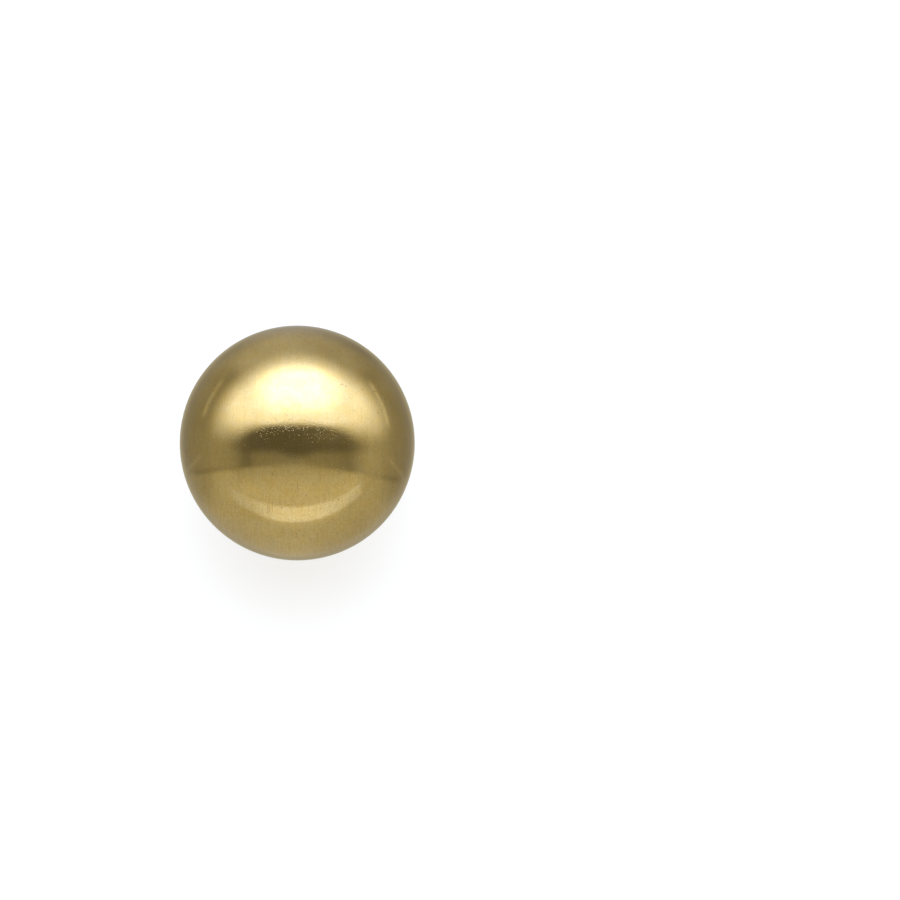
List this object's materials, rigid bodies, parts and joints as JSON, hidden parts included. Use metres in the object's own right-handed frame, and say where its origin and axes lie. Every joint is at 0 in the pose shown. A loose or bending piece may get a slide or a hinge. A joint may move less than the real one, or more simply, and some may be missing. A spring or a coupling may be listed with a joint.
{
  "type": "clip-on earring",
  "caption": "Plain round button earring: a hollow half-ball dome in satin gold-toned metal, closed by a flat back plate that carries a bent spring clip for an unpierced ear lobe.",
  "frame": {"origin": "middle of the outline at the lowest point: straight under the dome's pole, on the surface that the leaf's flat back stands on", "axes": "+Z from the clip to the dome's pole, the way the earring faces when worn; +Y to the top of the earring as worn, where the clip is open; +X to the right as seen from in front of the dome with +Y up"},
  "size_m": [0.025, 0.025, 0.0198],
  "materials": {
    "dome": "satin gold tone with fine brushing and small pits",
    "back_plate": "plain satin gold tone",
    "ear_clip": "plain polished gold tone"
  },
  "bodies": {
    "root": {"dome": "dome", "back_plate": "back_plate", "ear_clip": "ear_clip"}
  },
  "joints": []
}
